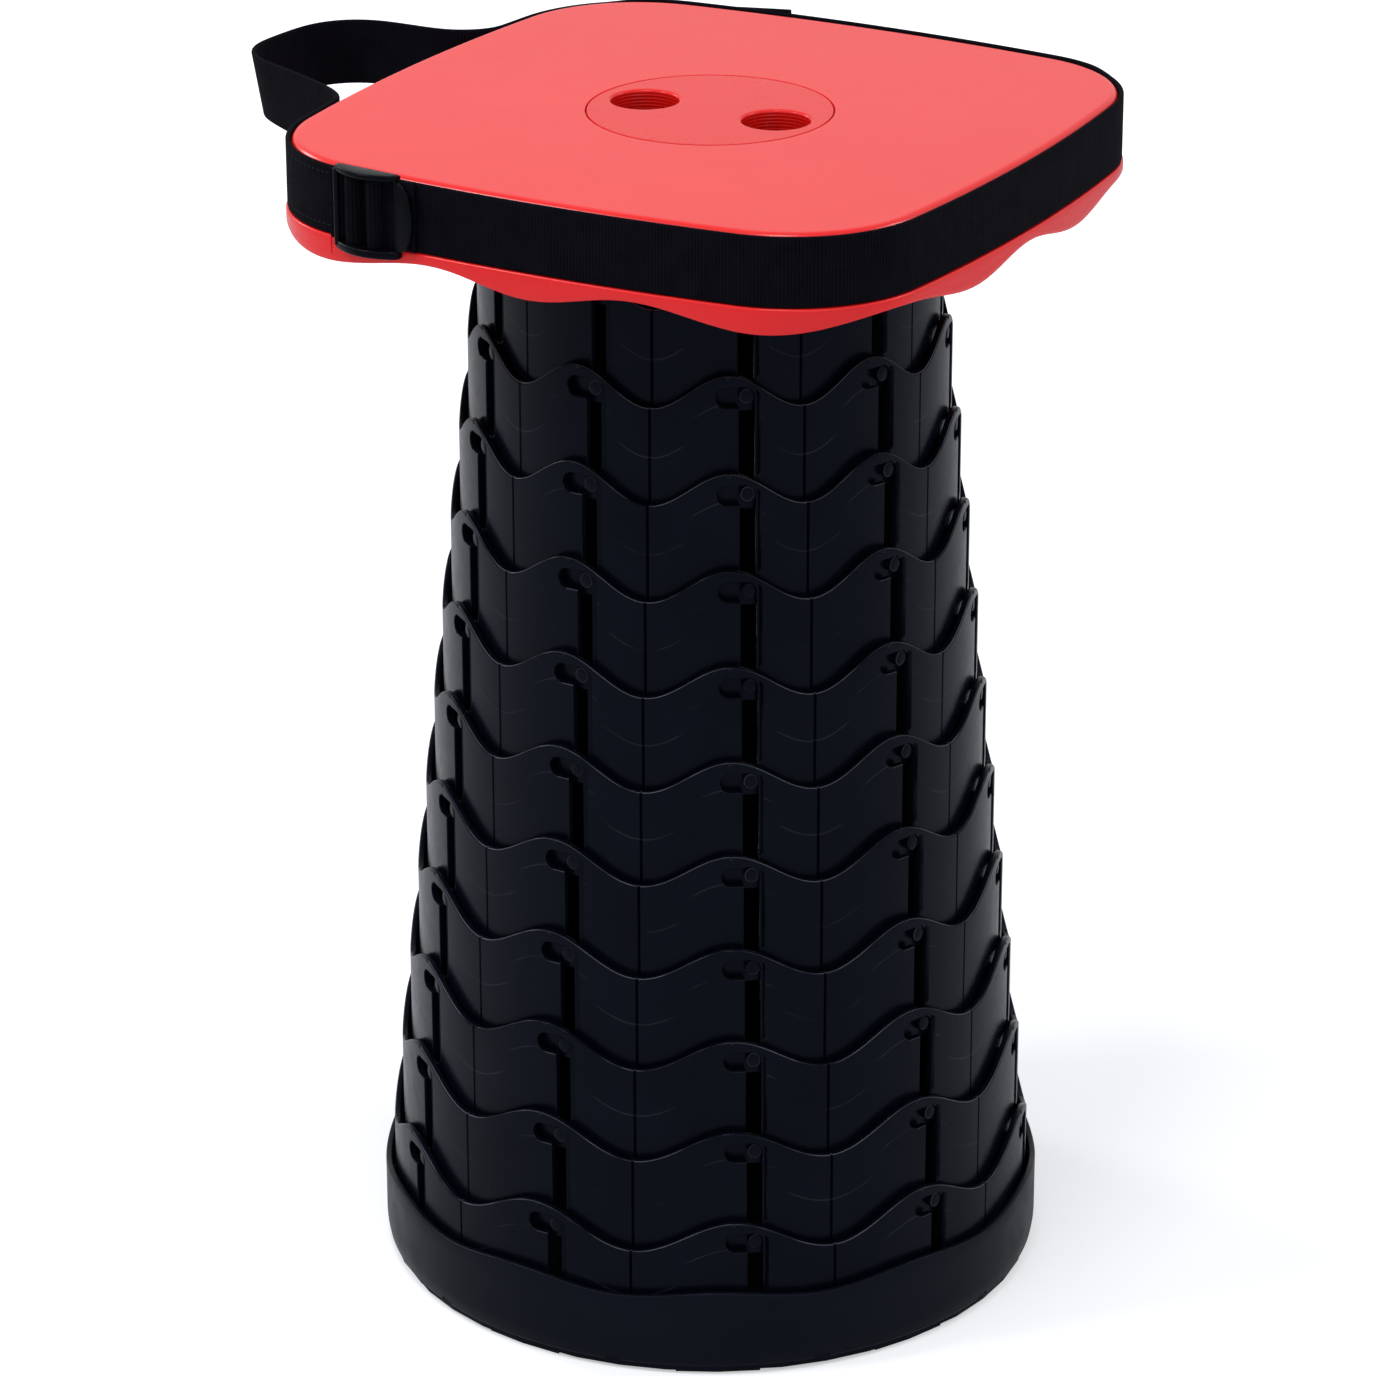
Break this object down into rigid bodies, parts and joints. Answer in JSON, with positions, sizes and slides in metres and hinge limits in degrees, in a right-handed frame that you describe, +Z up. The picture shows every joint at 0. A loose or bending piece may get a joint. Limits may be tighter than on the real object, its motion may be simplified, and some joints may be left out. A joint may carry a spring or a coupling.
{
  "type": "collapsible stool",
  "caption": "Round accordion stool of nested wavy-edged rings that slide down into a round base, under a rounded-square seat with finger holes and a webbing carry strap.",
  "frame": {"origin": "centre of the base on the floor, in the plane that the foot pads rest on", "axes": "+Z up along the stool's axis, -X towards the slack loop of the carry strap, the two finger holes lie along X, -Y is the side with the buckle"},
  "size_m": [0.3226, 0.2632, 0.4527],
  "materials": {
    "seat_red": "satin injection-moulded plastic, coral red",
    "disc_red": "satin injection-moulded plastic, a shade deeper than the seat",
    "collar_black": "satin black moulded plastic",
    "ring_black": "satin black moulded plastic",
    "base_black": "slightly duller black moulded plastic",
    "floor_black": "dull black moulded plastic",
    "foot_rubber": "soft black anti-slip rubber",
    "webbing": "woven black webbing",
    "buckle_black": "satin black moulded plastic"
  },
  "bodies": {
    "base": {"base_shell": "base_black", "base_floor": "floor_black", "base_feet": "foot_rubber", "ring_11": "ring_black"},
    "ring_10": {"ring_10": "ring_black"},
    "ring_09": {"ring_09": "ring_black"},
    "ring_08": {"ring_08": "ring_black"},
    "ring_07": {"ring_07": "ring_black"},
    "ring_06": {"ring_06": "ring_black"},
    "ring_05": {"ring_05": "ring_black"},
    "ring_04": {"ring_04": "ring_black"},
    "ring_03": {"ring_03": "ring_black"},
    "ring_02": {"ring_02": "ring_black"},
    "ring_01": {"ring_01": "ring_black"},
    "seat": {"seat_shell": "seat_red", "seat_centre_disc": "disc_red", "seat_collar": "collar_black", "carry_strap": "webbing", "strap_sewn_end": "webbing", "strap_threaded_end": "webbing", "strap_buckle": "buckle_black"}
  },
  "joints": [
    {"name": "ring_10_slide", "type": "slide", "parent": "base", "child": "ring_10", "axis": [0, 0, -1], "range_m": [0, 0.0353]},
    {"name": "ring_09_slide", "type": "slide", "parent": "ring_10", "child": "ring_09", "axis": [0, 0, -1], "range_m": [0, 0.0353]},
    {"name": "ring_08_slide", "type": "slide", "parent": "ring_09", "child": "ring_08", "axis": [0, 0, -1], "range_m": [0, 0.0353]},
    {"name": "ring_07_slide", "type": "slide", "parent": "ring_08", "child": "ring_07", "axis": [0, 0, -1], "range_m": [0, 0.0353]},
    {"name": "ring_06_slide", "type": "slide", "parent": "ring_07", "child": "ring_06", "axis": [0, 0, -1], "range_m": [0, 0.0353]},
    {"name": "ring_05_slide", "type": "slide", "parent": "ring_06", "child": "ring_05", "axis": [0, 0, -1], "range_m": [0, 0.0353]},
    {"name": "ring_04_slide", "type": "slide", "parent": "ring_05", "child": "ring_04", "axis": [0, 0, -1], "range_m": [0, 0.0353]},
    {"name": "ring_03_slide", "type": "slide", "parent": "ring_04", "child": "ring_03", "axis": [0, 0, -1], "range_m": [0, 0.0353]},
    {"name": "ring_02_slide", "type": "slide", "parent": "ring_03", "child": "ring_02", "axis": [0, 0, -1], "range_m": [0, 0.0353]},
    {"name": "ring_01_slide", "type": "slide", "parent": "ring_02", "child": "ring_01", "axis": [0, 0, -1], "range_m": [0, 0.0353]},
    {"name": "seat_slide", "type": "slide", "parent": "ring_01", "child": "seat", "axis": [0, 0, -1], "range_m": [0, 0.02647]}
  ],
  "couplings": [
    {"joint": "ring_09_slide", "follows": "ring_10_slide", "ratio": 1},
    {"joint": "ring_08_slide", "follows": "ring_10_slide", "ratio": 1},
    {"joint": "ring_07_slide", "follows": "ring_10_slide", "ratio": 1},
    {"joint": "ring_06_slide", "follows": "ring_10_slide", "ratio": 1},
    {"joint": "ring_05_slide", "follows": "ring_10_slide", "ratio": 1},
    {"joint": "ring_04_slide", "follows": "ring_10_slide", "ratio": 1},
    {"joint": "ring_03_slide", "follows": "ring_10_slide", "ratio": 1},
    {"joint": "ring_02_slide", "follows": "ring_10_slide", "ratio": 1},
    {"joint": "ring_01_slide", "follows": "ring_10_slide", "ratio": 1},
    {"joint": "seat_slide", "follows": "ring_10_slide", "ratio": 0.75}
  ]
}
